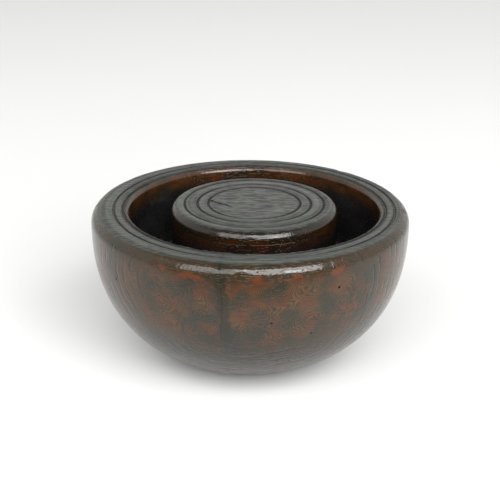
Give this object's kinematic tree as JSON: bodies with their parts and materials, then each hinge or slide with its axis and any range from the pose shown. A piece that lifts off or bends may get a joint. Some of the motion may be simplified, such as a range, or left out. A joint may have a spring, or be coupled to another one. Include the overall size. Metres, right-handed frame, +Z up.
{
  "type": "shaving bowl",
  "caption": "Turned burr-wood shaving bowl with a ring-shaped lather well round a central soap pot under a lift-off, ring-turned cap.",
  "frame": {"origin": "on the table, under the centre of the bowl's outside", "axes": "+Z up through the bowl; +X points the way in which the well, the pot and the cap are set off centre by 2 mm"},
  "size_m": [0.16, 0.16, 0.0817],
  "materials": {
    "bowl_wood": "waxed burr, dark red-brown",
    "pot_wood": "waxed burr, dark red-brown",
    "cap_wood": "worn satin, grey-brown",
    "shaving_soap": "dry hard soap, worn by the brush"
  },
  "bodies": {
    "bowl": {"bowl": "bowl_wood", "soap_pot": "pot_wood", "soap_cake": "shaving_soap"},
    "cap": {"cap": "cap_wood"}
  },
  "joints": [
    {"name": "cap_lift", "type": "slide", "parent": "bowl", "child": "cap", "axis": [0, 0, 1], "range_m": [0, 0.05]}
  ]
}
